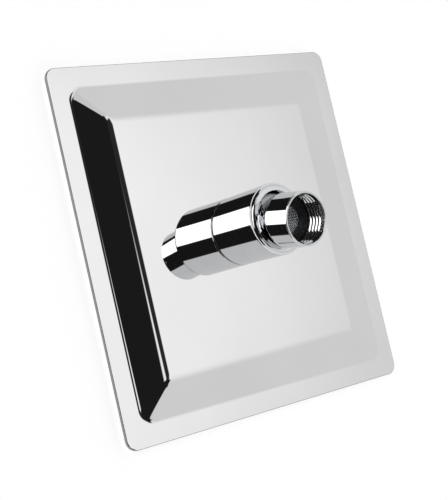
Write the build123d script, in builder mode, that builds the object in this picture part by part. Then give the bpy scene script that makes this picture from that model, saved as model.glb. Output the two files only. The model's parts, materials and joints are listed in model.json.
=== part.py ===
from build123d import *

import os
from math import atan2, degrees, radians, sqrt, tan

# Square rain shower head on a swivel ball inlet. Millimetres, +Z up.
# The nozzle tips stand on Z = 0, the spray face looks down and the inlet collar points up.

# Plate: a flat face sheet under a pressed pan, joined all round at a flat rim
plate_side = 156.0
plate_corner = 4.7
edge_round = 0.3
face_sheet = 0.8
pan_sheet = 0.8
rim_width = 9.4
bevel_width = 12.5
panel_rise = 3.43
foot_corner = 3.9
panel_corner = 2.0
bend_radius = 7.0

# Nozzles: silicone strips inside the pan, with nubs that come out through the face
strip_count = 8
nozzles_per_strip = 8
field_margin = 8.4
strip_width = 7.0
strip_sheet = 1.2
strip_end = 4.5
nozzle_reach = 2.0
nozzle_root_radius = 2.2
nozzle_taper = 12.0
nozzle_hole_clearance = 0.1
jet_radius = 0.6

# Inlet collar and ball, turned in one piece about the stem axis
rest_tilt = 8.5
inlet_radius = 10.48
inlet_depth = 11.66
inlet_lead = 0.35
collar_wall = 1.08
mouth_chamfer = 0.25
stem_reach = 22.93
collar_step = 1.19
neck_length = 3.52
ball_step = 0.53
passage_radius = 4.3
passage_flare = 4.6
outlet_radius = 5.8
outlet_edge = 0.9

# Cap nut over the ball, and the washer under its foot
nut_wall = 3.18
nut_taper = 0.3
nut_height = 26.95
nut_foot_chamfer = 0.3
lip_overlap = 0.7
lip_height = 3.26
lip_flare = 0.54
lip_flat = 1.59
lip_seat_height = 2.8
nut_washer_sheet = 0.4
nut_washer_inset = 0.3

# Threaded boss fixed in the pan, with the ball's seat and its sealing ring
boss_flange = 1.5
boss_flange_width = 2.8
boss_wall = 1.3
boss_bore = 8.0
boss_drop = 0.7
boss_chamfer = 0.5
seat_drop = 0.3
seat_edge = 0.5
seat_lead = 0.4
seat_ring_section = 1.6

# Flow regulator, filter washer and screen inside the inlet
regulator_pocket_radius = 5.9
regulator_pocket_depth = 4.3
regulator_wall = 0.7
regulator_floor = 1.1
regulator_pin_radius = 1.9
regulator_pin_height = 2.1
regulator_ring_section = 1.4
regulator_slot_count = 8
regulator_slot_radius = 0.55
filter_washer_sheet = 1.6
filter_washer_clearance = 0.25
filter_hole_radius = 5.2
filter_groove = 0.8
filter_screen_depth = 0.7
filter_screen_sheet = 0.4
thread_relief = 0.3

# Clearances
running_clearance = 0.05
passing_clearance = 0.1
thread_clearance = 0.1
boss_hole_clearance = 0.1

# Heights of the plate
face_bottom = nozzle_reach
face_top = face_bottom + face_sheet
rim_top = face_top + pan_sheet
panel_top = rim_top + panel_rise
panel_under = panel_top - pan_sheet

# Plan of the pan: the inside of each bend lies a little within the outside
foot_side = plate_side - 2 * rim_width
panel_side = foot_side - 2 * bevel_width
bend_inset = pan_sheet * tan(atan2(panel_rise, bevel_width) / 2)

# Radii of the swivel, from the inlet thread outwards
collar_radius = inlet_radius + collar_wall
neck_radius = collar_radius - collar_step
ball_radius = collar_radius + ball_step
ball_seat_radius = ball_radius + running_clearance
nut_bore = ball_radius + passing_clearance
nut_radius = nut_bore + nut_wall
nut_foot_radius = nut_radius - nut_taper
lip_radius = ball_radius - lip_overlap
lip_mouth_radius = lip_radius + lip_flare
boss_radius = nut_bore - thread_clearance
seat_pocket_radius = boss_radius - boss_wall


def ball_rise(radius):
    """Height above the ball's centre at which its seat has the given radius."""
    return sqrt(ball_seat_radius**2 - radius**2)


# Heights of the swivel
nut_foot = panel_top + nut_washer_sheet
nut_top = nut_foot + nut_height
lip_rise = ball_rise(lip_radius)
ball_height = nut_top - lip_height - lip_rise
boss_top = ball_height - ball_rise(seat_pocket_radius) - boss_drop
seat_top = boss_top - seat_drop
seat_inner_radius = boss_bore + seat_lead
seat_bottom = ball_height - ball_rise(seat_inner_radius) - seat_edge
seat_floor = seat_bottom - running_clearance - seat_ring_section

# The stem's own frame: x is the distance from its axis, y the height above the ball's centre
ball_centre = Vector(0, 0, ball_height)
stem_direction = Vector(0, 0, 1).rotate(Axis.X, rest_tilt)
stem_axis = Axis(ball_centre, stem_direction)
stem_section = Plane(ball_centre, x_dir=(1, 0, 0), z_dir=Vector(0, -1, 0).rotate(Axis.X, rest_tilt))
washer_seat = stem_reach - inlet_depth
washer_top = washer_seat + filter_washer_sheet
pocket_floor = washer_seat - regulator_pocket_depth

os.makedirs("parts", exist_ok=True)


# Face plate, with a grid of nozzle holes
nozzle_pitch_x = (panel_side - 2 * field_margin) / (nozzles_per_strip - 1)
nozzle_pitch_y = (panel_side - 2 * field_margin) / (strip_count - 1)
with BuildPart() as face_plate:
    with BuildSketch(Plane.XY.offset(face_bottom)):
        RectangleRounded(plate_side, plate_side, plate_corner)
        with GridLocations(nozzle_pitch_x, nozzle_pitch_y, nozzles_per_strip, strip_count):
            Circle(nozzle_root_radius + nozzle_hole_clearance, mode=Mode.SUBTRACT)
    extrude(amount=face_sheet)
    spray_face = face_plate.faces().sort_by(Axis.Z)[0]
    fillet(spray_face.outer_wire().edges(), radius=edge_round)
face_plate.part.label = "face_plate"
export_step(face_plate.part, "parts/face_plate.step")


# Nozzle strips, one for each row of holes
for strip_number in range(strip_count):
    strip_y = (strip_number - (strip_count - 1) / 2) * nozzle_pitch_y
    with BuildPart() as nozzle_strip:
        with BuildSketch(Plane.XY.offset(face_top)):
            with Locations((0, strip_y)):
                SlotOverall((nozzles_per_strip - 1) * nozzle_pitch_x + 2 * strip_end, strip_width)
        extrude(amount=strip_sheet)
        with BuildSketch(Plane.XY.offset(face_top)):
            with Locations((0, strip_y)):
                with GridLocations(nozzle_pitch_x, nozzle_pitch_y, nozzles_per_strip, 1):
                    Circle(nozzle_root_radius)
        extrude(amount=-face_top, taper=nozzle_taper)
        with BuildSketch(Plane.XY):
            with Locations((0, strip_y)):
                with GridLocations(nozzle_pitch_x, nozzle_pitch_y, nozzles_per_strip, 1):
                    Circle(jet_radius)
        extrude(amount=face_top + strip_sheet, mode=Mode.SUBTRACT)
    nozzle_strip.part.label = f"nozzle_strip_{strip_number + 1}"
    export_step(nozzle_strip.part, f"parts/{nozzle_strip.part.label}.step")


# Back pan: the rim, the bevelled rise to the panel, and the same form hollowed out beneath
with BuildPart() as back_pan:
    with BuildSketch(Plane.XY.offset(face_top)):
        RectangleRounded(plate_side, plate_side, plate_corner)
    extrude(amount=pan_sheet)
    fillet(back_pan.edges().group_by(Axis.Z)[-1], radius=edge_round)
    with BuildSketch(Plane.XY.offset(rim_top)):
        RectangleRounded(foot_side, foot_side, foot_corner)
    with BuildSketch(Plane.XY.offset(panel_top)):
        RectangleRounded(panel_side, panel_side, panel_corner)
    loft()
    panel_edges = back_pan.edges().group_by(Axis.Z)[-1]
    rim_face = back_pan.faces().filter_by(Plane.XY).sort_by(Axis.Z)[-2]
    fillet(panel_edges + rim_face.inner_wires()[0].edges(), radius=bend_radius)
    with BuildSketch(Plane.XY.offset(face_top)):
        RectangleRounded(foot_side - 2 * bend_inset, foot_side - 2 * bend_inset, foot_corner - bend_inset)
    with BuildSketch(Plane.XY.offset(panel_under)):
        RectangleRounded(panel_side - 2 * bend_inset, panel_side - 2 * bend_inset, panel_corner - bend_inset)
    loft(mode=Mode.SUBTRACT)
    seam_face = back_pan.faces().filter_by(Plane.XY).sort_by(Axis.Z)[0]
    fillet(seam_face.inner_wires()[0].edges(), radius=bend_radius + pan_sheet)
    ceiling = back_pan.faces().filter_by(Plane.XY).sort_by(Axis.Z)[-2]
    fillet(ceiling.outer_wire().edges(), radius=bend_radius - pan_sheet)
    with Locations((0, 0, panel_top)):
        Hole(boss_radius + boss_hole_clearance)
back_pan.part.label = "back_pan"
export_step(back_pan.part, "parts/back_pan.step")


# Inlet boss: a flange under the panel and a threaded stub that stands up through it
with BuildPart() as inlet_boss:
    with BuildSketch(Plane.XZ):
        with BuildLine():
            Polyline(
                (boss_bore, panel_under - boss_flange),
                (boss_radius + boss_flange_width, panel_under - boss_flange),
                (boss_radius + boss_flange_width, panel_under),
                (boss_radius, panel_under),
                (boss_radius, boss_top - boss_chamfer),
                (boss_radius - boss_chamfer, boss_top),
                (seat_pocket_radius, boss_top),
                (seat_pocket_radius, seat_floor),
                (boss_bore, seat_floor),
                close=True,
            )
        make_face()
    revolve(axis=Axis.Z)
inlet_boss.part.label = "inlet_boss"
export_step(inlet_boss.part, "parts/inlet_boss.step")


# Seat O-ring, on the floor of the boss's pocket
with BuildPart() as seat_o_ring:
    with BuildSketch(Plane.XZ):
        with Locations(((seat_pocket_radius + boss_bore) / 2, seat_floor + seat_ring_section / 2)):
            Circle(seat_ring_section / 2)
    revolve(axis=Axis.Z)
seat_o_ring.part.label = "seat_o_ring"
export_step(seat_o_ring.part, "parts/seat_o_ring.step")


# Ball seat: a ring with a hollow spherical face under the ball
seat_outer_radius = seat_pocket_radius - running_clearance
seat_face_start = degrees(atan2(-ball_rise(seat_inner_radius), seat_inner_radius))
seat_face_drop = seat_top - ball_height
seat_face_end = degrees(atan2(seat_face_drop, sqrt(ball_seat_radius**2 - seat_face_drop**2)))
with BuildPart() as ball_seat:
    with BuildSketch(Plane.XZ):
        with BuildLine():
            seat_arc = CenterArc(
                (0, ball_height), ball_seat_radius, seat_face_start, seat_face_end - seat_face_start
            )
            Polyline(
                seat_arc @ 1,
                (seat_outer_radius, seat_top),
                (seat_outer_radius, seat_bottom),
                (seat_inner_radius, seat_bottom),
                seat_arc @ 0,
            )
        make_face()
    revolve(axis=Axis.Z)
ball_seat.part.label = "ball_seat"
export_step(ball_seat.part, "parts/ball_seat.step")


# Washer between the nut's foot and the panel
with BuildPart() as nut_washer:
    with BuildSketch(Plane.XY.offset(panel_top)):
        Circle(nut_foot_radius - nut_washer_inset)
        Circle(boss_radius + boss_hole_clearance, mode=Mode.SUBTRACT)
    extrude(amount=nut_washer_sheet)
nut_washer.part.label = "nut_washer"
export_step(nut_washer.part, "parts/nut_washer.step")


# Swivel nut: a plain bore over the boss, a spherical face that holds the ball down and a flared lip
lip_start_rise = lip_rise - lip_seat_height
lip_start = degrees(atan2(lip_start_rise, sqrt(ball_seat_radius**2 - lip_start_rise**2)))
lip_end = degrees(atan2(lip_rise, lip_radius))
with BuildPart() as swivel_nut:
    with BuildSketch(Plane.XZ):
        with BuildLine():
            lip_arc = CenterArc((0, ball_height), ball_seat_radius, lip_start, lip_end - lip_start)
            Polyline(
                lip_arc @ 1,
                (lip_mouth_radius, nut_top),
                (nut_radius, nut_top),
                (nut_foot_radius, nut_foot),
                (nut_bore, nut_foot),
                (nut_bore, ball_height + lip_start_rise),
                lip_arc @ 0,
            )
        make_face()
    revolve(axis=Axis.Z)
    top_edge = swivel_nut.edges().group_by(Axis.Z)[-1].sort_by(SortBy.RADIUS)[-1]
    fillet(top_edge, radius=nut_radius - lip_mouth_radius - lip_flat)
    foot_edge = swivel_nut.edges().group_by(Axis.Z)[0].sort_by(SortBy.RADIUS)[-1]
    chamfer(foot_edge, length=nut_foot_chamfer)
swivel_nut.part.label = "swivel_nut"
export_step(swivel_nut.part, "parts/swivel_nut.step")


# Swivel ball: the ball, its neck and collar, and the water way from the threaded mouth to the outlet
outlet_rim = outlet_radius + outlet_edge
ball_bottom = -sqrt(ball_radius**2 - outlet_rim**2)
neck_rise = sqrt(ball_radius**2 - neck_radius**2)
neck_top = neck_rise + neck_length
ball_start = degrees(atan2(ball_bottom, outlet_rim))
ball_end = degrees(atan2(neck_rise, neck_radius))
with BuildPart() as swivel_ball:
    with BuildSketch(stem_section):
        with BuildLine():
            ball_arc = CenterArc((0, 0), ball_radius, ball_start, ball_end - ball_start)
            Polyline(
                ball_arc @ 1,
                (neck_radius, neck_top),
                (collar_radius, neck_top + collar_step),
                (collar_radius, stem_reach - mouth_chamfer),
                (collar_radius - mouth_chamfer, stem_reach),
                (inlet_radius + inlet_lead, stem_reach),
                (inlet_radius, stem_reach - inlet_lead),
                (inlet_radius, washer_top),
                (inlet_radius + thread_relief, washer_top),
                (inlet_radius + thread_relief, washer_seat),
                (regulator_pocket_radius, washer_seat),
                (regulator_pocket_radius, pocket_floor),
                (passage_radius, pocket_floor),
                (passage_radius, ball_bottom + passage_flare),
                (outlet_radius, ball_bottom),
                ball_arc @ 0,
            )
        make_face()
    revolve(axis=stem_axis)
swivel_ball.part.label = "swivel_ball"
export_step(swivel_ball.part, "parts/swivel_ball.step")


# Filter washer: a rubber ring with a groove inside for the screen's edge
screen_top = washer_top - filter_screen_depth
screen_bottom = screen_top - filter_screen_sheet
screen_radius = filter_hole_radius + filter_groove
with BuildPart() as filter_washer:
    with BuildSketch(stem_section):
        with BuildLine():
            Polyline(
                (filter_hole_radius, washer_seat),
                (inlet_radius - filter_washer_clearance, washer_seat),
                (inlet_radius - filter_washer_clearance, washer_top),
                (filter_hole_radius, washer_top),
                (filter_hole_radius, screen_top),
                (screen_radius, screen_top),
                (screen_radius, screen_bottom),
                (filter_hole_radius, screen_bottom),
                close=True,
            )
        make_face()
    revolve(axis=stem_axis)
filter_washer.part.label = "filter_washer"
export_step(filter_washer.part, "parts/filter_washer.step")


# Filter screen: a woven disc, kept plain here
with BuildPart() as filter_screen:
    with BuildSketch(Plane(ball_centre + stem_direction * screen_bottom, z_dir=stem_direction)):
        Circle(screen_radius)
    extrude(amount=filter_screen_sheet)
filter_screen.part.label = "filter_screen"
export_step(filter_screen.part, "parts/filter_screen.step")


# Flow regulator body: a slotted cup with a pin that carries the control ring
regulator_bottom = pocket_floor + running_clearance
regulator_top = washer_seat - running_clearance
regulator_radius = regulator_pocket_radius - running_clearance
regulator_bore = regulator_radius - regulator_wall
regulator_deck = regulator_bottom + regulator_floor
ring_circle_radius = (regulator_pin_radius + regulator_bore) / 2
with BuildPart() as regulator_body:
    with BuildSketch(stem_section):
        with BuildLine():
            Polyline(
                (0, regulator_bottom),
                (regulator_radius, regulator_bottom),
                (regulator_radius, regulator_top),
                (regulator_bore, regulator_top),
                (regulator_bore, regulator_deck),
                (regulator_pin_radius, regulator_deck),
                (regulator_pin_radius, regulator_deck + regulator_pin_height),
                (0, regulator_deck + regulator_pin_height),
                close=True,
            )
        make_face()
    revolve(axis=stem_axis)
    with BuildSketch(Plane(ball_centre + stem_direction * regulator_bottom, z_dir=stem_direction)):
        with PolarLocations(ring_circle_radius, regulator_slot_count):
            Circle(regulator_slot_radius)
    extrude(amount=regulator_floor, mode=Mode.SUBTRACT)
regulator_body.part.label = "regulator_body"
export_step(regulator_body.part, "parts/regulator_body.step")


# Regulator control ring, on the cup's floor round the pin
with BuildPart() as regulator_o_ring:
    with BuildSketch(stem_section):
        with Locations((ring_circle_radius, regulator_deck + regulator_ring_section / 2)):
            Circle(regulator_ring_section / 2)
    revolve(axis=stem_axis)
regulator_o_ring.part.label = "regulator_o_ring"
export_step(regulator_o_ring.part, "parts/regulator_o_ring.step")
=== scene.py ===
"""Looks of the square rain shower head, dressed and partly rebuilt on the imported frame."""

import json
import logging
import math
from dataclasses import dataclass, field
from enum import Enum

import bmesh
import bpy
from mathutils import Matrix, Quaternion, Vector


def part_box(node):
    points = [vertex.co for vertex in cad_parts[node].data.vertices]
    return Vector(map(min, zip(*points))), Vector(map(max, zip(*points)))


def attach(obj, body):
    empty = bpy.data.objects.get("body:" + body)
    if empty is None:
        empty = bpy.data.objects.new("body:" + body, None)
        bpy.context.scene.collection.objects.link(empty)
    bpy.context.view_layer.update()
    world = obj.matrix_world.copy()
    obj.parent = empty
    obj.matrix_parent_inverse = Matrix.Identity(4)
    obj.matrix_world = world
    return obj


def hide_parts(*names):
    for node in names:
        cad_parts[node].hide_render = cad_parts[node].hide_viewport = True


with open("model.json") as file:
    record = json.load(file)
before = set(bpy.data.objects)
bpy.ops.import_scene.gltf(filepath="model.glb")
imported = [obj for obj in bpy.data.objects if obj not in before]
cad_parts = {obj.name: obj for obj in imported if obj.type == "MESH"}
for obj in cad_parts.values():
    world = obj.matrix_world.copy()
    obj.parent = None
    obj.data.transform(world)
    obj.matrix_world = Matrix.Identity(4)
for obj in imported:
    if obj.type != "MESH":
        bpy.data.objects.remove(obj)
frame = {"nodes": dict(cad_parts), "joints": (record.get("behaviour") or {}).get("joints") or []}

LOG = logging.getLogger("shower_head")
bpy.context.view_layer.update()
MM = 0.001
FULL_TURN = 2 * math.pi
SHARP_ANGLE = math.radians(32)
MERGE_DISTANCE = 1e-4
TURN_STEPS = 144
ROUND_STEPS = 4
DARK = 0.012

Colour = tuple[float, float, float]
Triple = tuple[float, float, float]
Way = tuple[float, float]
Mesh = bmesh.types.BMesh
Vertex = bmesh.types.BMVert
Ring = list[bmesh.types.BMEdge]
Tree = bpy.types.NodeTree
Socket = bpy.types.NodeSocket


class Body(str, Enum):
    """The moving bodies that pieces ride on."""

    HEAD = "head"
    INLET = "inlet"


class Slot(str, Enum):
    """The record's material slots, which pieces are given as an argument but which nothing assigns.
    """

    STEEL = "polished_steel"
    CHROME = "chrome_plate"
    RUBBER = "black_rubber"
    WIRE = "screen_wire"


class Effect(str, Enum):
    """Surface effects that several finishes share, each one a shader node group."""

    HAZE = "polish_haze"
    DRIFT = "tone_drift"
    LINES = "fine_lines"
    SPECKS = "dry_specks"
    # Mask of the painted dark reflection on the plate's outer edge.
    EDGE = "cut_edge"


class Blend(Enum):
    """What a Mix node blends: its data type, and the numbers of its first end and its result."""

    NUMBERS = ("FLOAT", 2, 0)
    COLOURS = ("RGBA", 6, 2)


class NodeSheet:
    """A node tree that is being filled in."""

    def __init__(self, tree: Tree) -> None:
        """Starts on an emptied tree.

        Args:
            tree: The node tree of a material, a world or a group.
        """
        self.tree = tree
        tree.nodes.clear()

    def give(self, target: Socket, value: object) -> None:
        """Feeds an input socket.

        Args:
            target: The input socket.
            value: The output socket that feeds it, or a plain value.
        """
        if isinstance(value, Socket):
            self.tree.links.new(value, target)
        else:
            target.default_value = value

    def add(self, kind: str, values: dict | None = None, **settings: object) -> bpy.types.Node:
        """Adds one node.

        Args:
            kind: The node's full type name.
            values: What feeds its input sockets, by name or number.
            settings: Properties of the node itself.

        Returns:
            The new node.
        """
        node = self.tree.nodes.new(kind)
        for name, value in settings.items():
            setattr(node, name, value)
        for socket, value in (values or {}).items():
            self.give(node.inputs[socket], value)
        return node

    def maths(self, operation: str, first: Socket, second: object) -> Socket:
        """Adds a Math node for two numbers, sockets or plain ones, and gives its result."""
        return self.add("ShaderNodeMath", {0: first, 1: second}, operation=operation).outputs[0]

    def vector(self, operation: str, values: dict, result: str = "Vector") -> Socket:
        """Adds a Vector Math node with these inputs and gives the named one of its outputs."""
        return self.add("ShaderNodeVectorMath", values, operation=operation).outputs[result]

    def mix(self, blend: Blend, share: Socket, low: object, high: object) -> Socket:
        """Adds a blend of two numbers or two colours.

        Args:
            blend: What is blended.
            share: The socket of the second one's share.
            low: The first one, a socket or a plain value.
            high: The second one, a socket or a plain value.

        Returns:
            The socket of the blend.
        """
        data_type, first, result = blend.value
        values = {0: share, first: low, first + 1: high}
        return self.add("ShaderNodeMix", values, data_type=data_type).outputs[result]

    def ramp(
        self, value: Socket, start: float, end: float, low: float = 0.0, high: float = 1.0
    ) -> Socket:
        """Adds a smooth step of a number.

        Args:
            value: The socket of the number.
            start: Where the step begins.
            end: Where the step ends.
            low: What it gives before the step.
            high: What it gives after the step.

        Returns:
            The socket of the result.
        """
        step = {"Value": value, "From Min": start, "From Max": end, "To Min": low, "To Max": high}
        node = self.add("ShaderNodeMapRange", step, interpolation_type="SMOOTHSTEP")
        return node.outputs["Result"]


class EffectGroup:
    """The node group of one shared effect, built at its first use."""

    PATCH_LIMITS = (0.3, 0.7)
    PATCH_NOISE = {"Detail": 4.0, "Roughness": 0.55}
    SOCKETS = {
        Effect.HAZE: (("Low", "Float"), ("High", "Float"), "Roughness", "Float"),
        Effect.DRIFT: (("Shade", "Color"), ("Light", "Color"), "Color", "Color"),
        Effect.LINES: (("Stretch", "Vector"), ("Detail", "Float"), "Height", "Float"),
        Effect.SPECKS: (("Size", "Float"), ("Depth", "Float"), "Mask", "Float"),
        Effect.EDGE: (("Inner", "Vector"), ("Reach", "Float"), "Mask", "Float"),
    }

    def __init__(self, effect: Effect) -> None:
        """Finds the effect's group or builds it.

        Args:
            effect: Which effect.
        """
        self.effect = effect
        self.tree = bpy.data.node_groups.get(effect.value)
        if self.tree is None:
            self.tree = bpy.data.node_groups.new(effect.value, "ShaderNodeTree")
            self.fill()

    def fill(self) -> None:
        """Gives the group its named sockets and its nodes."""
        first, second, output, output_kind = self.SOCKETS[self.effect]
        face = self.tree.interface
        for name, kind in (("Vector", "Vector"), ("Scale", "Float"), first, second):
            face.new_socket(name, in_out="INPUT", socket_type="NodeSocket" + kind)
        face.new_socket(output, in_out="OUTPUT", socket_type="NodeSocket" + output_kind)
        self.sheet = NodeSheet(self.tree)
        self.inputs = self.sheet.add("NodeGroupInput").outputs
        build = {
            Effect.HAZE: self.haze,
            Effect.DRIFT: self.drift,
            Effect.LINES: self.lines,
            Effect.SPECKS: self.specks,
            Effect.EDGE: self.edge,
        }[self.effect]
        self.sheet.add("NodeGroupOutput", {output: build()})

    def taken(self, *names: str) -> dict[str, Socket]:
        """Gives the group's inputs of these names, for a node whose sockets have the same names."""
        return {name: self.inputs[name] for name in names}

    def patches(self) -> Socket:
        """Adds soft patches at the group's scale.

        Returns:
            A number from 0 to 1 that changes over the surface.
        """
        values = self.taken("Vector", "Scale") | self.PATCH_NOISE
        noise = self.sheet.add("ShaderNodeTexNoise", values)
        return self.sheet.ramp(noise.outputs["Fac"], *self.PATCH_LIMITS)

    def haze(self) -> Socket:
        """Adds the roughness of a polish that is clearer in some patches than in others.

        Returns:
            The roughness.
        """
        low, high = self.inputs["Low"], self.inputs["High"]
        values = {"Value": self.patches(), "To Min": low, "To Max": high}
        return self.sheet.add("ShaderNodeMapRange", values).outputs["Result"]

    def drift(self) -> Socket:
        """Adds a colour that drifts between two close tones, and gives its socket."""
        ends = self.inputs["Shade"], self.inputs["Light"]
        return self.sheet.mix(Blend.COLOURS, self.patches(), *ends)

    def lines(self) -> Socket:
        """Adds the height of fine lines or grain, drawn out where Stretch is small.

        Returns:
            The height.
        """
        pull = {0: self.inputs["Vector"], 1: self.inputs["Stretch"]}
        values = self.taken("Scale", "Detail") | {"Vector": self.sheet.vector("MULTIPLY", pull)}
        return self.sheet.add("ShaderNodeTexNoise", values).outputs["Fac"]

    def specks(self) -> Socket:
        """Adds sparse small round marks, as dried drops and dust leave them.

        Returns:
            The mask, Depth inside a mark and 0 outside.
        """
        values = self.taken("Vector", "Scale") | {"Randomness": 1.0}
        cells = self.sheet.add("ShaderNodeTexVoronoi", values)
        inside = self.sheet.maths("LESS_THAN", cells.outputs["Distance"], self.inputs["Size"])
        return self.sheet.maths("MULTIPLY", inside, self.inputs["Depth"])

    def edge(self) -> Socket:
        """Adds a mask of what lies further than Reach outside a block that is Inner in half size.

        Returns:
            The mask, 1 outside and 0 inside.
        """
        scale = {0: self.inputs["Vector"], "Scale": self.inputs["Scale"]}
        folded = self.sheet.vector("ABSOLUTE", {0: self.sheet.vector("SCALE", scale)})
        beyond = self.sheet.vector("SUBTRACT", {0: folded, 1: self.inputs["Inner"]})
        outside = self.sheet.vector("MAXIMUM", {0: beyond, 1: (0, 0, 0)})
        far = self.sheet.vector("LENGTH", {0: outside}, "Value")
        return self.sheet.maths("GREATER_THAN", far, self.inputs["Reach"])


class SurfaceSheet(NodeSheet):
    """A material's node tree with a Principled surface, which the shared effects feed."""

    def __init__(self, tree: Tree) -> None:
        """Starts on an emptied tree with the surface and the object's coordinates.

        Args:
            tree: The material's node tree.
        """
        super().__init__(tree)
        self.surface = self.add("ShaderNodeBsdfPrincipled")
        self.add("ShaderNodeOutputMaterial", {"Surface": self.surface.outputs["BSDF"]})
        self.place = self.add("ShaderNodeTexCoord").outputs["Object"]

    def feed(self, name: str, value: object) -> None:
        """Feeds the surface's socket of this name from another socket or with a plain value."""
        self.give(self.surface.inputs[name], value)

    def effect(self, effect: Effect, values: dict) -> Socket:
        """Places an effect's group with a finish's own values and gives its one output."""
        values = {"Vector": self.place} | values
        return self.add("ShaderNodeGroup", values, node_tree=EffectGroup(effect).tree).outputs[0]

    def bump(self, height: Socket, strength: float, depth: float) -> None:
        """Feeds a height to the surface's normal.

        Args:
            height: The socket of the height, from 0 to 1.
            strength: The Bump node's strength.
            depth: How far height 1 stands out, in mm.
        """
        values = {"Strength": strength, "Distance": depth * MM, "Height": height}
        self.feed("Normal", self.add("ShaderNodeBump", values).outputs["Normal"])


class Finish:
    """A procedural finish, whose material is made at its first use."""

    name: str

    def material(self) -> bpy.types.Material:
        """Gives the finish's material.

        Returns:
            The material, made now if there is none yet.
        """
        material = bpy.data.materials.get(self.name)
        if material is None:
            material = bpy.data.materials.new(self.name)
            material.use_nodes = True
            self.dress(material.node_tree)
        return material

    def dress(self, tree: Tree) -> None:
        """Fills in the material's node tree; each kind of finish has its own way."""
        raise NotImplementedError


@dataclass(frozen=True)
class BrightMetal(Finish):
    """A bright metal: its two tones, how clear the polish is, and the lines the wheel left."""

    name: str
    shade: Colour
    light: Colour
    clear: float
    hazy: float
    patch_scale: float
    line_scale: float
    line_stretch: Triple
    line_depth: float
    line_detail: float = 3.0
    line_strength: float = 1.0
    tone_share: float = 0.6
    spot_scale: float = 260.0
    spot_size: float = 0.1
    spot_haze: float = 0.05
    edge_block: Triple | None = None
    edge_reach: float = 0.0
    # Painted dark reflection: the metal colour given beyond the edge block, standing in for the
    # grey the plate's edge mirrors.
    painted_edge_tone: Colour = (0.3, 0.3, 0.31)

    def dress(self, tree: Tree) -> None:
        """Feeds the metal's colour, roughness and lines.

        Args:
            tree: The material's node tree.
        """
        sheet = SurfaceSheet(tree)
        sheet.feed("Metallic", 1.0)
        tones = {"Shade": (*self.shade, 1), "Light": (*self.light, 1)}
        tones["Scale"] = self.patch_scale * self.tone_share
        sheet.feed("Base Color", self.cut_edge(sheet, sheet.effect(Effect.DRIFT, tones)))
        polish = {"Scale": self.patch_scale, "Low": self.clear, "High": self.hazy}
        haze = sheet.effect(Effect.HAZE, polish)
        marks = {"Scale": self.spot_scale, "Size": self.spot_size, "Depth": self.spot_haze}
        spots = sheet.effect(Effect.SPECKS, marks)
        sheet.feed("Roughness", sheet.maths("ADD", haze, spots))
        wheel = {"Scale": self.line_scale, "Stretch": self.line_stretch}
        wheel["Detail"] = self.line_detail
        sheet.bump(sheet.effect(Effect.LINES, wheel), self.line_strength, self.line_depth)

    def cut_edge(self, sheet: SurfaceSheet, tone: Socket) -> Socket:
        """Paints a dark reflection on the plate's outer edge, where the finish has one: a darker
        metal colour beyond the block stands in for the grey that edge mirrors.

        Args:
            sheet: The material's node tree.
            tone: The socket of the metal's colour.

        Returns:
            The socket of the colour to use.
        """
        if self.edge_block is None:
            return tone
        size = {"Scale": 1 / MM, "Inner": self.edge_block, "Reach": self.edge_reach}
        mask = sheet.effect(Effect.EDGE, size)
        return sheet.mix(Blend.COLOURS, mask, tone, (*self.painted_edge_tone, 1))


@dataclass(frozen=True)
class MouldedSkin(Finish):
    """Moulded rubber, silicone or plastic: its two tones, its sheen and the grain of the mould."""

    name: str
    shade: Colour
    light: Colour
    smooth: float
    dull: float
    patch_scale: float
    grain_scale: float
    grain_depth: float
    grain_detail: float = 2.0
    grain_strength: float = 0.6
    sheen_share: float = 1.7
    soft_depth: float = 0.0

    def dress(self, tree: Tree) -> None:
        """Feeds the skin's colour, roughness and grain.

        Args:
            tree: The material's node tree.
        """
        sheet = SurfaceSheet(tree)
        sheet.feed("Subsurface Weight", self.soft_depth)
        sheet.feed("Subsurface Scale", MM)
        tones = {"Shade": (*self.shade, 1), "Light": (*self.light, 1), "Scale": self.patch_scale}
        sheet.feed("Base Color", sheet.effect(Effect.DRIFT, tones))
        sheen = {"Low": self.smooth, "High": self.dull}
        sheen["Scale"] = self.patch_scale * self.sheen_share
        sheet.feed("Roughness", sheet.effect(Effect.HAZE, sheen))
        mould = {"Scale": self.grain_scale, "Stretch": (1.0, 1.0, 1.0)}
        mould["Detail"] = self.grain_detail
        sheet.bump(sheet.effect(Effect.LINES, mould), self.grain_strength, self.grain_depth)


MIRROR_STEEL = BrightMetal(
    name="mirror_steel",
    shade=(0.795, 0.792, 0.795),
    light=(0.825, 0.823, 0.825),
    clear=0.012,
    hazy=0.034,
    patch_scale=26.0,
    line_scale=900.0,
    line_stretch=(0.03, 1.0, 1.0),
    line_depth=0.0006,
    # The plate's outer edge gets a painted dark reflection: a darker metal colour beyond this
    # block.
    edge_block=(73.3, 73.3, 100.0),
    edge_reach=4.45,
)
BRIGHT_CHROME = BrightMetal(
    name="bright_chrome",
    shade=(0.715, 0.722, 0.735),
    light=(0.755, 0.762, 0.772),
    clear=0.008,
    hazy=0.026,
    patch_scale=120.0,
    line_scale=1500.0,
    line_stretch=(0.06, 0.06, 1.0),
    line_depth=0.0003,
    spot_scale=700.0,
)
TURNED_BRASS = BrightMetal(
    name="turned_brass",
    shade=(0.62, 0.43, 0.2),
    light=(0.74, 0.55, 0.28),
    clear=0.2,
    hazy=0.34,
    patch_scale=140.0,
    line_scale=2600.0,
    line_stretch=(0.08, 0.08, 1.0),
    line_depth=0.01,
    spot_scale=900.0,
)
SCREEN_WIRE = BrightMetal(
    name="drawn_wire",
    shade=(0.52, 0.53, 0.55),
    light=(0.66, 0.67, 0.69),
    clear=0.2,
    hazy=0.36,
    patch_scale=500.0,
    line_scale=5000.0,
    line_stretch=(0.1, 0.1, 1.0),
    line_depth=0.002,
    spot_scale=1500.0,
)
BLACK_RUBBER = MouldedSkin(
    name="black_rubber_skin",
    shade=(0.012, 0.012, 0.013),
    light=(0.026, 0.026, 0.028),
    smooth=0.42,
    dull=0.62,
    patch_scale=400.0,
    grain_scale=6000.0,
    grain_depth=0.02,
)
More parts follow.
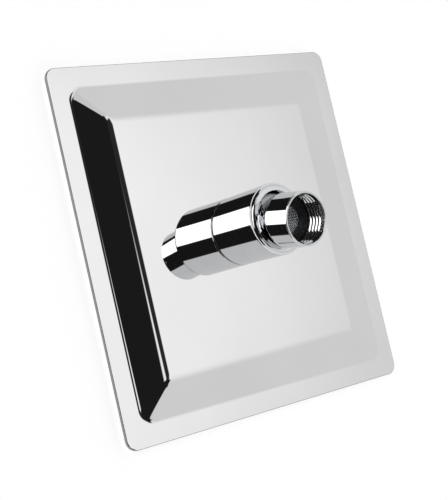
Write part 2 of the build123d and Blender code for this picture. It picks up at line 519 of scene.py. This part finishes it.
GREY_SILICONE = MouldedSkin(
    name="grey_silicone",
    shade=(0.42, 0.43, 0.44),
    light=(0.5, 0.51, 0.52),
    smooth=0.38,
    dull=0.52,
    patch_scale=160.0,
    grain_scale=3500.0,
    grain_depth=0.015,
    soft_depth=0.2,
)
SEAT_PLASTIC = MouldedSkin(
    name="seat_acetal",
    shade=(0.72, 0.71, 0.68),
    light=(0.8, 0.79, 0.76),
    smooth=0.28,
    dull=0.4,
    patch_scale=180.0,
    grain_scale=3000.0,
    grain_depth=0.008,
    soft_depth=0.1,
)
REGULATOR_PLASTIC = MouldedSkin(
    name="regulator_plastic_skin",
    shade=(0.045, 0.047, 0.052),
    light=(0.07, 0.072, 0.078),
    smooth=0.3,
    dull=0.45,
    patch_scale=220.0,
    grain_scale=3200.0,
    grain_depth=0.01,
)


def make_piece(
    mesh: Mesh,
    name: str,
    body: Body,
    slot: Slot,
    finish: Finish,
    replaced: tuple[str, ...] = (),
    place: Matrix | None = None,
) -> bpy.types.Object:
    """Turns a finished mesh in millimetres into a piece that rides on a body.

    Args:
        mesh: The mesh, which is used up.
        name: The piece's name.
        body: The body it moves with.
        slot: The record's material slot; it is not used.
        finish: The piece's finish.
        replaced: The CAD nodes that it stands for.
        place: Where it goes in the frame, if it isn't there already.

    Returns:
        The new object, at the origin with its place in its mesh.
    """
    bmesh.ops.remove_doubles(mesh, verts=mesh.verts, dist=MERGE_DISTANCE)
    bmesh.ops.recalc_face_normals(mesh, faces=mesh.faces)
    if place is not None:
        bmesh.ops.transform(mesh, matrix=place, verts=mesh.verts)
    bmesh.ops.scale(mesh, vec=(MM, MM, MM), verts=mesh.verts)
    for face in mesh.faces:
        face.smooth = True
    data = bpy.data.meshes.new(name)
    mesh.to_mesh(data)
    mesh.free()
    data.set_sharp_from_angle(angle=SHARP_ANGLE)
    data.materials.append(finish.material())
    piece = bpy.data.objects.new(name, data)
    bpy.context.scene.collection.objects.link(piece)
    shading = piece.modifiers.new("even_shading", "WEIGHTED_NORMAL")
    shading.keep_sharp = True
    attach(piece, body.value)
    if replaced:
        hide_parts(*replaced)
    LOG.info("%s rides on %s: %d faces", name, body.value, len(data.polygons))
    return piece


def dress_node(node: str, finish: Finish) -> None:
    """Gives a CAD node a finish.

    Args:
        node: The node's name.
        finish: Its finish.
    """
    for holder in frame["nodes"][node].material_slots:
        holder.material = finish.material()
    LOG.info("%s is dressed in %s", node, finish.name)


def round_corners(mesh: Mesh, corners: list[Vertex], offset: float, steps: int) -> list[Vertex]:
    """Rounds corners of a drawn outline.

    Args:
        mesh: The outline's mesh.
        corners: The corners.
        offset: How far from a corner its rounding starts.
        steps: How many runs a rounding has.

    Returns:
        The vertices of the roundings.
    """
    rounded = bmesh.ops.bevel(
        mesh,
        geom=corners,
        offset=offset,
        offset_type="OFFSET",
        affect="VERTICES",
        segments=steps,
        profile=0.5,
        material=-1,
    )
    return rounded["verts"]


class TurnedSection:
    """Half the section of a turned piece, drawn point by point in millimetres and spun about Z."""

    def __init__(self, radius: float, height: float) -> None:
        """Starts the section at a point.

        Args:
            radius: The point's distance from the axis.
            height: The point's height.
        """
        self.mesh = bmesh.new()
        self.tip = bmesh.ops.create_vert(self.mesh, co=(radius, 0, height))["vert"][0]
        self.first = self.tip
        self.rounds: list[tuple[Vertex, float]] = []

    def to(self, radius: float, height: float, rounding: float = 0.0) -> "TurnedSection":
        """Draws a straight run.

        Args:
            radius: The end's distance from the axis.
            height: The end's height.
            rounding: How far from the end its corner starts to be rounded.

        Returns:
            The section itself, for the next run.
        """
        self.tip = bmesh.ops.extrude_vert_indiv(self.mesh, verts=[self.tip])["verts"][0]
        self.tip.co = (radius, 0, height)
        if rounding:
            self.rounds.append((self.tip, rounding))
        return self

    def arc(self, middle: float, height: float, end: float, steps: int) -> "TurnedSection":
        """Draws an arc round a centre, from where the section stands.

        Args:
            middle: The centre's distance from the axis.
            height: The centre's height.
            end: The angle of the arc's end, in radians from the outward direction.
            steps: How many runs it has.

        Returns:
            The section itself, for the next run.
        """
        reach = Vector((self.tip.co.x - middle, self.tip.co.z - height))
        start = math.atan2(reach.y, reach.x)
        for step in range(1, steps + 1):
            angle = start + (end - start) * step / steps
            along, up = reach.length * math.cos(angle), reach.length * math.sin(angle)
            self.to(middle + along, height + up)
        return self

    def close(self, round_steps: int = ROUND_STEPS) -> Mesh:
        """Closes the section and rounds its corners.

        Args:
            round_steps: How many runs each rounding has.

        Returns:
            The mesh with the closed outline.
        """
        self.mesh.edges.new((self.tip, self.first))
        for corner, rounding in self.rounds:
            round_corners(self.mesh, [corner], rounding, round_steps)
        return self.mesh

    def spin(self) -> Mesh:
        """Closes the section and spins it once round.

        Returns:
            The closed mesh.
        """
        mesh = self.close()
        bmesh.ops.spin(
            mesh,
            geom=mesh.verts[:] + mesh.edges[:],
            cent=(0, 0, 0),
            axis=(0, 0, 1),
            angle=FULL_TURN,
            steps=TURN_STEPS,
            use_merge=True,
        )
        return mesh


@dataclass
class PlateAssembly:
    """The square plate: a pressed pan over the spray face with its nozzles. Millimetres."""

    sheet: float = 0.8
    rim_width: float = 9.4
    bevel_width: float = 13.3
    plate_corner: float = 4.7
    foot_corner: float = 6.0
    panel_corner: float = 2.0
    foot_bend_radius: float = 10.0
    panel_bend_radius: float = 24.0
    edge_round: float = 0.3
    hole_radius: float = 12.19
    level_tolerance: float = 0.0003
    corner_steps: int = 10
    bend_steps: int = 8
    edge_steps: int = 4
    strip_count: int = 8

    def __post_init__(self) -> None:
        """Reads the pan's size and heights from the frame."""
        low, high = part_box("back_pan")
        self.half = high.x / MM
        self.seam = low.z / MM
        self.panel_top = high.z / MM
        self.rim_top = self.seam + self.sheet
        self.foot_half = self.half - self.rim_width
        self.panel_half = self.foot_half - self.bevel_width
        self.slope = math.atan2(self.panel_top - self.rim_top, self.bevel_width)

    def build(self) -> None:
        """Builds the pan and dresses the spray face and its nozzles."""
        make_piece(self.pan(), "pressed_pan", Body.HEAD, Slot.STEEL, MIRROR_STEEL, ("back_pan",))
        dress_node("face_plate", MIRROR_STEEL)
        for number in range(1, self.strip_count + 1):
            dress_node(f"nozzle_strip_{number}", GREY_SILICONE)

    def corner_at(self, half: float) -> float:
        """Gives the corner radius of the ring with a given half side.

        Args:
            half: The ring's half side.

        Returns:
            The radius, which grows inwards over the rim and shrinks over the bevel.
        """
        if half > self.foot_half:
            share = (half - self.foot_half) / self.rim_width
            return self.foot_corner + share * (self.plate_corner - self.foot_corner)
        share = (half - self.panel_half) / self.bevel_width
        return self.panel_corner + share * (self.foot_corner - self.panel_corner)

    def bend(
        self, half: float, height: float, radius: float, side: int
    ) -> list[tuple[float, float]]:
        """Gives the rings of a bend between the bevel and a flat.

        Args:
            half: The half side at which the bevel and the flat would meet.
            height: The flat's height.
            radius: The bend's radius.
            side: 1 for the hollow bend at the bevel's foot, -1 for the rounded one at its top.

        Returns:
            Each ring's half side and height, from outside inwards.
        """
        flat_end = half + side * radius * math.tan(self.slope / 2)
        turns = [self.slope * step / self.bend_steps for step in range(self.bend_steps + 1)]
        places = [flat_end - side * radius * math.sin(turn) for turn in turns[::side]]
        rises = [side * radius * (1 - math.cos(turn)) for turn in turns[::side]]
        return [(place, height + rise) for place, rise in zip(places, rises)]

    def square_ring(self, mesh: Mesh, half: float, corner: float, height: float) -> Ring:
        """Draws a square ring with rounded corners.

        Args:
            mesh: The mesh to draw in.
            half: Its half side.
            corner: Its corner radius.
            height: Its height.

        Returns:
            The ring's edges.
        """
        level = Matrix.Translation((0, 0, height))
        grid = bmesh.ops.create_grid(mesh, x_segments=1, y_segments=1, size=half, matrix=level)
        square = grid["verts"][0].link_faces[0]
        rounded = round_corners(mesh, square.verts[:], corner, self.corner_steps)
        ring = {edge for vertex in rounded for edge in vertex.link_edges}
        faces = {face for edge in ring for face in edge.link_faces}
        bmesh.ops.delete(mesh, geom=list(faces), context="FACES_ONLY")
        return list(ring)

    def edge_rings(self, mesh: Mesh) -> list[Ring]:
        """Draws the rings of the pan's outer edge, from the seam up over the rounding.

        Args:
            mesh: The mesh to draw in.

        Returns:
            The rings' edges.
        """
        rings = [self.square_ring(mesh, self.half, self.plate_corner, self.seam)]
        for step in range(self.edge_steps + 1):
            turn = math.radians(90) * step / self.edge_steps
            cut = self.edge_round * (1 - math.cos(turn))
            drop = self.edge_round * (1 - math.sin(turn))
            corner = self.plate_corner - cut
            rings.append(self.square_ring(mesh, self.half - cut, corner, self.rim_top - drop))
        return rings

    def bend_rings(self, mesh: Mesh, places: list[tuple[float, float]]) -> list[Ring]:
        """Draws the rings of the bends, each at its half side and height."""
        return [self.square_ring(mesh, half, self.corner_at(half), up) for half, up in places]

    def pan(self) -> Mesh:
        """Builds the pressed pan from square rings, bridged one to the next.

        Returns:
            The closed mesh.
        """
        inset = self.sheet * math.tan(self.slope / 2)
        under_panel = self.panel_top - self.sheet
        hollow, crown = self.foot_bend_radius, self.panel_bend_radius
        above = self.bend(self.foot_half, self.rim_top, hollow, 1)
        above += self.bend(self.panel_half, self.panel_top, crown, -1)
        below = self.bend(self.foot_half - inset, self.seam, hollow + self.sheet, 1)
        below += self.bend(self.panel_half - inset, under_panel, crown - self.sheet, -1)
        mesh = bmesh.new()
        rings = self.edge_rings(mesh) + self.bend_rings(mesh, above)
        around = 4 * (self.corner_steps + 1)
        for height in (self.panel_top, under_panel):
            level = Matrix.Translation((0, 0, height))
            hole = bmesh.ops.create_circle(
                mesh, segments=around, radius=self.hole_radius, matrix=level
            )
            rings.append(list({edge for vertex in hole["verts"] for edge in vertex.link_edges}))
        rings += self.bend_rings(mesh, below[::-1])
        for ring, following in zip(rings, rings[1:] + rings[:1]):
            self.join_rings(mesh, ring, following)
        return mesh

    def join_rings(self, mesh: Mesh, ring: Ring, following: Ring) -> None:
        """Joins two rings by a wall, or by a flat face with a hole where they lie at one height.

        Args:
            mesh: The pan's mesh.
            ring: The first ring's edges.
            following: The next ring's edges.
        """
        step = abs(ring[0].verts[0].co.z - following[0].verts[0].co.z)
        edges = ring + following
        if step < self.level_tolerance:
            bmesh.ops.triangle_fill(mesh, edges=edges, use_beauty=True, normal=(0, 0, 1))
        else:
            bmesh.ops.bridge_loops(mesh, edges=edges)


@dataclass
class SwivelNut:
    """The cap nut over the ball: a plain tube with a rounded top and a lip. Millimetres."""

    bore: float = 12.19
    wall: float = 3.18
    taper: float = 0.3
    foot_chamfer: float = 0.3
    ball_seat_radius: float = 12.14
    lip_radius: float = 11.39
    lip_flare: float = 0.54
    lip_flat: float = 1.59
    lip_seat_height: float = 2.8
    edge_round: float = 0.12
    top_steps: int = 12
    seat_steps: int = 6

    def __post_init__(self) -> None:
        """Reads the nut's size and the ball's centre from the frame."""
        low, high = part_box("swivel_nut")
        self.radius = self.bore + self.wall
        self.foot = low.z / MM
        self.top = high.z / MM
        self.ball_height = frame["joints"][0]["pos_m"][2] / MM

    def build(self) -> None:
        """Builds the nut and dresses the washer under its foot."""
        make_piece(self.nut(), "cap_nut", Body.HEAD, Slot.CHROME, BRIGHT_CHROME, ("swivel_nut",))
        dress_node("nut_washer", BLACK_RUBBER)

    def nut(self) -> Mesh:
        """Draws the nut's section from its lip, outside first, and spins it.

        Returns:
            The closed mesh.
        """
        lip_rise = math.sqrt(self.ball_seat_radius**2 - self.lip_radius**2)
        seat_start = lip_rise - self.lip_seat_height
        seat_start_radius = math.sqrt(self.ball_seat_radius**2 - seat_start**2)
        mouth = self.lip_radius + self.lip_flare
        round_top = self.radius - mouth - self.lip_flat
        height = self.top - self.foot
        lean = math.atan2(self.taper, height)
        side = self.radius - self.taper * round_top / height
        middle = side - round_top / math.cos(lean)
        foot_radius = self.radius - self.taper
        section = TurnedSection(self.lip_radius, self.ball_height + lip_rise)
        section.to(mouth, self.top, self.edge_round)
        section.to(middle, self.top)
        section.arc(middle, self.top - round_top, -lean, self.top_steps)
        section.to(foot_radius, self.foot + self.foot_chamfer, self.edge_round)
        section.to(foot_radius - self.foot_chamfer, self.foot, self.edge_round)
        section.to(self.bore, self.foot)
        section.to(self.bore, self.ball_height + seat_start)
        section.to(seat_start_radius, self.ball_height + seat_start)
        lip_angle = math.atan2(lip_rise, self.lip_radius)
        section.arc(0.0, self.ball_height, lip_angle, self.seat_steps)
        return section.spin()


@dataclass
class InletStem:
    """The ball with its threaded collar, and the filter in it. Millimetres, along the stem."""

    ball_radius: float = 12.09
    ball_steps: int = 40
    outlet_radius: float = 5.8
    outlet_edge: float = 0.9
    passage_radius: float = 4.3
    passage_flare: float = 4.6
    neck_radius: float = 10.37
    neck_length: float = 3.52
    collar_step: float = 1.19
    reach: float = 22.93
    mouth_chamfer: float = 0.25
    bore_radius: float = 10.48
    bore_lead: float = 0.15
    bore_relief: float = 0.3
    washer_seat: float = 11.27
    washer_sheet: float = 1.6
    washer_hole: float = 5.7
    washer_clearance: float = 0.25
    groove: float = 0.3
    screen_height: float = 11.97
    screen_sheet: float = 0.4
    pocket_radius: float = 5.9
    pocket_floor: float = 6.97
    edge_round: float = 0.06
    thread_pitch: float = 1.814
    thread_crest: float = 10.0
    thread_sunk: float = 0.04
    thread_half_share: float = 0.4
    thread_crest_share: float = 0.13
    thread_round: float = 0.08
    thread_round_steps: int = 2
    thread_turns: float = 3.9
    thread_fade: float = 0.3
    thread_start: float = 20.4
    thread_entry: float = 126.0
    thread_steps: int = 96
    wire_radius: float = 0.19
    wire_pitch: float = 0.8
    wire_swing: float = 0.12
    wire_sides: int = 6
    wire_steps: int = 4
    weave_turn: float = 45.0

    def __post_init__(self) -> None:
        """Reads the stem's place and lean from the inlet's joint."""
        joint = frame["joints"][-1]
        lean = Vector((0, 0, 1)).rotation_difference(Vector(joint["axis"]))
        foot = Matrix.Translation(Vector(joint["pos_m"]) / MM)
        self.place = foot @ lean.to_matrix().to_4x4()
        self.washer_top = self.washer_seat + self.washer_sheet
        self.thread_root = self.bore_radius + self.thread_sunk

    def build(self) -> None:
        """Builds the stem, its thread and its filter."""
        self.add(self.stem(), "ball_stem", Slot.CHROME, BRIGHT_CHROME, ("swivel_ball",))
        self.add(self.thread(), "inlet_thread", Slot.CHROME, BRIGHT_CHROME)
        self.add(self.washer(), "filter_ring", Slot.RUBBER, BLACK_RUBBER, ("filter_washer",))
        self.add(self.screen(), "woven_screen", Slot.WIRE, SCREEN_WIRE, ("filter_screen",))

    def add(
        self, mesh: Mesh, name: str, slot: Slot, finish: Finish, replaced: tuple[str, ...] = ()
    ) -> None:
        """Adds a piece of the stem at the stem's place."""
        make_piece(mesh, name, Body.INLET, slot, finish, replaced, self.place)

    def stem(self) -> Mesh:
        """Draws the section of ball and collar from the ball's outlet, outside first, and spins it.

        Returns:
            The closed mesh.
        """
        outlet_rim = self.outlet_radius + self.outlet_edge
        ball_bottom = -math.sqrt(self.ball_radius**2 - outlet_rim**2)
        neck_rise = math.sqrt(self.ball_radius**2 - self.neck_radius**2)
        neck_top = neck_rise + self.neck_length
        collar = self.neck_radius + self.collar_step
        relief = self.bore_radius + self.bore_relief
        section = TurnedSection(outlet_rim, ball_bottom)
        section.arc(0.0, 0.0, math.atan2(neck_rise, self.neck_radius), self.ball_steps)
        section.to(self.neck_radius, neck_top)
        section.to(collar, neck_top + self.collar_step, self.edge_round)
        section.to(collar, self.reach - self.mouth_chamfer, self.edge_round)
        section.to(collar - self.mouth_chamfer, self.reach, self.edge_round)
        section.to(self.bore_radius + self.bore_lead, self.reach, self.edge_round)
        section.to(self.bore_radius, self.reach - self.bore_lead, self.edge_round)
        section.to(self.bore_radius, self.washer_top)
        section.to(relief, self.washer_top)
        section.to(relief, self.washer_seat)
        section.to(self.pocket_radius, self.washer_seat)
        section.to(self.pocket_radius, self.pocket_floor)
        section.to(self.passage_radius, self.pocket_floor)
        section.to(self.passage_radius, ball_bottom + self.passage_flare)
        section.to(self.outlet_radius, ball_bottom, self.edge_round)
        return section.spin()

    def thread(self) -> Mesh:
        """Spins the ridge of the inlet's thread down the bore and fades out its two ends.

        Returns:
            The closed mesh.
        """
        half = self.thread_pitch * self.thread_half_share
        crest = self.thread_pitch * self.thread_crest_share
        ridge = TurnedSection(self.thread_root, half)
        ridge.to(self.thread_crest, crest, self.thread_round)
        ridge.to(self.thread_crest, -crest, self.thread_round)
        ridge.to(self.thread_root, -half)
        mesh = ridge.close(self.thread_round_steps)
        bmesh.ops.spin(
            mesh,
            geom=mesh.verts[:] + mesh.edges[:],
            cent=(0, 0, 0),
            axis=(0, 0, 1),
            dvec=(0, 0, -self.thread_pitch / self.thread_steps),
            angle=-self.thread_turns * FULL_TURN,
            steps=round(self.thread_turns * self.thread_steps),
        )
        for vertex in mesh.verts:
            self.fade(vertex)
        bmesh.ops.holes_fill(mesh, edges=[edge for edge in mesh.edges if edge.is_boundary])
        entry = Matrix.Rotation(math.radians(self.thread_entry), 3, "Z")
        bmesh.ops.rotate(mesh, cent=(0, 0, 0), matrix=entry, verts=mesh.verts)
        bmesh.ops.translate(mesh, vec=(0, 0, self.thread_start), verts=mesh.verts)
        return mesh

    def fade(self, vertex: Vertex) -> None:
        """Draws a point of the thread into the bore's wall, the nearer it is to an end.

        Args:
            vertex: The point, on a thread that starts at height 0 and turns down from +X.
        """
        around = -math.atan2(vertex.co.y, vertex.co.x) / FULL_TURN
        turns = around + round(-vertex.co.z / self.thread_pitch - around)
        to_end = min(turns, self.thread_turns - turns)
        share = min(1.0, max(0.0, to_end / self.thread_fade))
        radius = math.hypot(vertex.co.x, vertex.co.y)
        wanted = self.thread_root + (radius - self.thread_root) * share
        middle = -turns * self.thread_pitch
        vertex.co.x *= wanted / radius
        vertex.co.y *= wanted / radius
        vertex.co.z = middle + (vertex.co.z - middle) * share

    def washer(self) -> Mesh:
        """Draws the section of the filter's rubber ring, with the screen's groove, and spins it.

        Returns:
            The closed mesh.
        """
        outer = self.bore_radius - self.washer_clearance
        deep = self.washer_hole + self.groove
        groove_top = self.screen_height + self.screen_sheet / 2
        groove_bottom = self.screen_height - self.screen_sheet / 2
        section = TurnedSection(self.washer_hole, groove_bottom)
        section.to(self.washer_hole, self.washer_seat, self.edge_round)
        section.to(outer, self.washer_seat, self.edge_round)
        section.to(outer, self.washer_top, 2 * self.edge_round)
        section.to(self.washer_hole, self.washer_top, 2 * self.edge_round)
        section.to(self.washer_hole, groove_top)
        section.to(deep, groove_top)
        section.to(deep, groove_bottom)
        return section.spin()

    def screen(self) -> Mesh:
        """Weaves the screen from two layers of waved wires.

        Returns:
            The closed mesh.
        """
        mesh = bmesh.new()
        radius = self.washer_hole + self.groove - self.wire_radius
        count = int(radius / self.wire_pitch)
        for layer in range(2):
            made: list[Vertex] = []
            for number in range(-count, count + 1):
                made += self.wire(mesh, number, layer, radius)
            turn = Matrix.Rotation(math.radians(self.weave_turn + 90 * layer), 3, "Z")
            bmesh.ops.rotate(mesh, cent=(0, 0, 0), matrix=turn, verts=made)
        bmesh.ops.translate(mesh, vec=(0, 0, self.screen_height), verts=mesh.verts)
        return mesh

    def wire(self, mesh: Mesh, number: int, layer: int, radius: float) -> list[Vertex]:
        """Draws one wire, a small ring pulled along X over and under the wires that cross it.

        Args:
            mesh: The mesh to draw in.
            number: The wire's place in its layer, 0 in the middle.
            layer: 0 or 1; the second layer's wires lie the other way up.
            radius: The screen's radius.

        Returns:
            The wire's vertices.
        """
        across = number * self.wire_pitch
        end = math.sqrt(radius**2 - across**2)
        steps = round(2 * end / (self.wire_pitch / self.wire_steps))
        over = 1 if (number + layer) % 2 else -1
        upright = Matrix.Rotation(math.radians(90), 4, "Y")
        start = Matrix.Translation((-end, across, 0)) @ upright
        ring = bmesh.ops.create_circle(
            mesh, segments=self.wire_sides, radius=self.wire_radius, matrix=start
        )["verts"]
        made = list(ring)
        edges = list({edge for vertex in ring for edge in vertex.link_edges})
        bmesh.ops.translate(mesh, vec=(0, 0, self.wave(-end, over)), verts=ring)
        for step in range(steps):
            along = -end + 2 * end * step / steps
            further = along + 2 * end / steps
            grown = bmesh.ops.extrude_edge_only(mesh, edges=edges)["geom"]
            ring = [item for item in grown if isinstance(item, Vertex)]
            grown_edges = [item for item in grown if isinstance(item, bmesh.types.BMEdge)]
            edges = [edge for edge in grown_edges if edge.is_boundary]
            rise = self.wave(further, over) - self.wave(along, over)
            bmesh.ops.translate(mesh, vec=(further - along, 0, rise), verts=ring)
            made += ring
        tube = {edge for vertex in made for edge in vertex.link_edges if edge.is_boundary}
        bmesh.ops.holes_fill(mesh, edges=list(tube))
        return made

    def wave(self, along: float, over: int) -> float:
        """Gives the height of a wire's wave at a point of its length."""
        return over * self.wire_swing * math.cos(math.pi * along / self.wire_pitch)


@dataclass
class HiddenSwivel:
    """The boss, the ball's seat and the flow regulator, which stay as CAD nodes."""

    finishes: dict[str, Finish] = field(
        default_factory=lambda: {
            "inlet_boss": TURNED_BRASS,
            "ball_seat": SEAT_PLASTIC,
            "seat_o_ring": BLACK_RUBBER,
            "regulator_body": REGULATOR_PLASTIC,
            "regulator_o_ring": BLACK_RUBBER,
        }
    )

    def build(self) -> None:
        """Dresses each node."""
        for node, finish in self.finishes.items():
            dress_node(node, finish)


@dataclass(frozen=True)
class PaleFloor(Finish):
    """The stage's floor: white to the camera and to mirrors, and still shaded by the object."""

    name: str = "pale_floor"
    glow: float = 0.7
    paint: float = 0.62

    def dress(self, tree: Tree) -> None:
        """Mixes matt paint with a glow that only the eye and mirrors see.

        Args:
            tree: The material's node tree.
        """
        sheet = NodeSheet(tree)
        rays = sheet.add("ShaderNodeLightPath").outputs
        seen = sheet.maths("MAXIMUM", rays["Is Camera Ray"], rays["Is Glossy Ray"])
        seen = sheet.maths("MAXIMUM", seen, rays["Is Transmission Ray"])
        strength = sheet.maths("MULTIPLY", seen, self.glow)
        light = {"Color": (1, 1, 1, 1), "Strength": strength}
        glow = sheet.add("ShaderNodeEmission", light).outputs["Emission"]
        grey = {"Color": (self.paint,) * 3 + (1,)}
        paint = sheet.add("ShaderNodeBsdfDiffuse", grey).outputs["BSDF"]
        both = sheet.add("ShaderNodeAddShader", {0: paint, 1: glow}).outputs["Shader"]
        sheet.add("ShaderNodeOutputMaterial", {"Surface": both})


def towards(azimuth: float, elevation: float) -> Vector:
    """Gives the direction at an azimuth from +X and an elevation, both in degrees."""
    around = Quaternion((0, 0, 1), math.radians(azimuth))
    return around @ Quaternion((0, 1, 0), -math.radians(elevation)) @ Vector((1, 0, 0))


@dataclass(frozen=True)
class SkyPanel:
    """A flat panel in the studio's sky, which only the mirrors see.

    Its corners are azimuths and elevations in order, and its edge is how soft it is, in degrees.
    """

    light: float
    corners: tuple[Way, ...]
    edge: float = 1.6


class Sky(NodeSheet):
    """The world's node tree, which finds the brightness in a ray's direction."""

    def __init__(self, tree: Tree) -> None:
        """Starts on an emptied tree with the ray's direction.

        Args:
            tree: The world's node tree.
        """
        super().__init__(tree)
        self.way = self.add("ShaderNodeTexCoord").outputs["Generated"]

    def facing(self, direction: Vector) -> Socket:
        """Adds the cosine between the ray and a direction."""
        return self.vector("DOT_PRODUCT", {0: self.way, 1: direction}, "Value")

    def spot(
        self, middle: Way, outside: float, inside: float, low: float = 0.0, high: float = 1.0
    ) -> Socket:
        """Adds a soft round spot.

        Args:
            middle: The spot's middle.
            outside: The angle from its middle at which it begins, in degrees.
            inside: The angle at which it is full.
            low: What it gives outside.
            high: What it gives inside.

        Returns:
            The socket of the result.
        """
        limits = [math.cos(math.radians(angle)) for angle in (outside, inside)]
        return self.ramp(self.facing(towards(*middle)), *limits, low, high)

    def within(self, panel: SkyPanel) -> Socket:
        """Adds the share of the ray that falls on a panel.

        Args:
            panel: The panel.

        Returns:
            The socket of the share, 0 outside the panel and 1 inside.
        """
        ways = [towards(*corner) for corner in panel.corners]
        middle = sum(ways, Vector()).normalized()
        softness = math.sin(math.radians(panel.edge))
        share = None
        for corner, following in zip(ways, ways[1:] + ways[:1]):
            side = corner.cross(following).normalized()
            side = side if side.dot(middle) > 0 else -side
            edge = self.ramp(self.facing(side), 0.0, softness)
            share = edge if share is None else self.maths("MULTIPLY", share, edge)
        return share


@dataclass
class Studio:
    """The stage: a pale sky with a dark hood and panels, the floor and the photograph's camera."""

    eye: Triple = (-362.19, -33.03, 426.74)
    aim: Triple = (-2.465, 11.401, 3.6)
    roll: float = 71.6
    focal_pixels: float = 1286.0
    frame_pixels: float = 500.0
    axis_row: float = 207.34
    sensor: float = 36.0
    backdrop: float = 1.0
    surround: float = 0.74
    glow: float = 1.06
    glow_way: Way = (6.0, 62.0)
    glow_from: float = 21.0
    glow_full: float = 3.0
    hood_way: Way = (142.9, 60.3)
    hood_reach: float = 45.3
    hood_edge: float = 1.2
    flag: SkyPanel = SkyPanel(
        DARK,
        ((194.0, 2.0), (244.0, 2.0), (252.0, 27.0), (226.0, 54.0), (172.0, 54.0)),
    )
    side: SkyPanel = SkyPanel(DARK, ((76.0, -4.0), (128.0, -4.0), (138.0, 34.0), (74.0, 41.0)))
    bar: SkyPanel = SkyPanel(0.022, ((-34.0, 52.0), (33.0, 53.5), (33.0, 69.8), (-34.0, 60.5)), 2.4)
    wing: SkyPanel = SkyPanel(DARK, ((-14.0, 53.0), (-78.0, 53.0), (-110.0, 78.0), (-4.0, 80.0)))
    card: SkyPanel = SkyPanel(0.68, ((35.0, 50.0), (84.0, 50.0), (80.0, 65.0), (43.0, 66.0)))
    box: SkyPanel = SkyPanel(2.3, ((136.0, 30.0), (196.0, 34.0), (163.0, 58.0), (97.0, 58.0)))
    floor_half: float = 3000.0
    floor_drop: float = 0.1

    def build(self) -> None:
        """Builds the stage."""
        self.surround_light()
        self.floor()
        self.camera()
        bpy.context.scene.view_settings.view_transform = "Standard"

    def surround_light(self) -> None:
        """Builds the light: a pale sky, brighter over the plate, the dark hood and the panels.

        The panels are laid over each other in order, and the last one is the soft box.
        """
        world = bpy.data.worlds.new("studio_light")
        bpy.context.scene.world = world
        world.use_nodes = True
        sky = Sky(world.node_tree)
        light = sky.spot(self.glow_way, self.glow_from, self.glow_full, self.surround, self.glow)
        outside, inside = self.hood_reach + self.hood_edge, self.hood_reach - self.hood_edge
        light = sky.mix(Blend.NUMBERS, sky.spot(self.hood_way, outside, inside), light, DARK)
        for panel in (self.flag, self.side, self.bar, self.wing, self.card, self.box):
            light = sky.mix(Blend.NUMBERS, sky.within(panel), light, panel.light)
        seen = sky.add("ShaderNodeLightPath").outputs["Is Camera Ray"]
        strength = sky.mix(Blend.NUMBERS, seen, light, self.backdrop)
        shine = {"Color": (1, 1, 1, 1), "Strength": strength}
        background = sky.add("ShaderNodeBackground", shine).outputs["Background"]
        sky.add("ShaderNodeOutputWorld", {"Surface": background})

    def floor(self) -> None:
        """Lays the floor just under the nozzle tips."""
        mesh = bmesh.new()
        level = Matrix.Translation((0, 0, -self.floor_drop * MM))
        size = self.floor_half * MM
        bmesh.ops.create_grid(mesh, x_segments=1, y_segments=1, size=size, matrix=level)
        data = bpy.data.meshes.new("studio_floor")
        mesh.to_mesh(data)
        mesh.free()
        data.materials.append(PaleFloor().material())
        floor = bpy.data.objects.new("studio_floor", data)
        bpy.context.scene.collection.objects.link(floor)

    def camera(self) -> None:
        """Sets up the camera at the photograph's view."""
        data = bpy.data.cameras.new("photo_view")
        data.sensor_width = self.sensor
        data.lens = self.sensor * self.focal_pixels / self.frame_pixels
        data.shift_y = self.axis_row / self.frame_pixels - 0.5
        camera = bpy.data.objects.new("photo_view", data)
        eye = Vector(self.eye) * MM
        look = (Vector(self.aim) * MM - eye).to_track_quat("-Z", "Y")
        camera.rotation_mode = "QUATERNION"
        camera.rotation_quaternion = look @ Quaternion((0, 0, 1), math.radians(self.roll))
        camera.location = eye
        bpy.context.scene.collection.objects.link(camera)
        bpy.context.scene.camera = camera


def main() -> None:
    """Builds the stage, then each sub-assembly from the plate upwards."""
    logging.basicConfig(level=logging.INFO, format="%(name)s: %(message)s")
    Studio().build()
    for assembly in (PlateAssembly(), SwivelNut(), InletStem(), HiddenSwivel()):
        assembly.build()


if __name__ == "__main__":
    main()
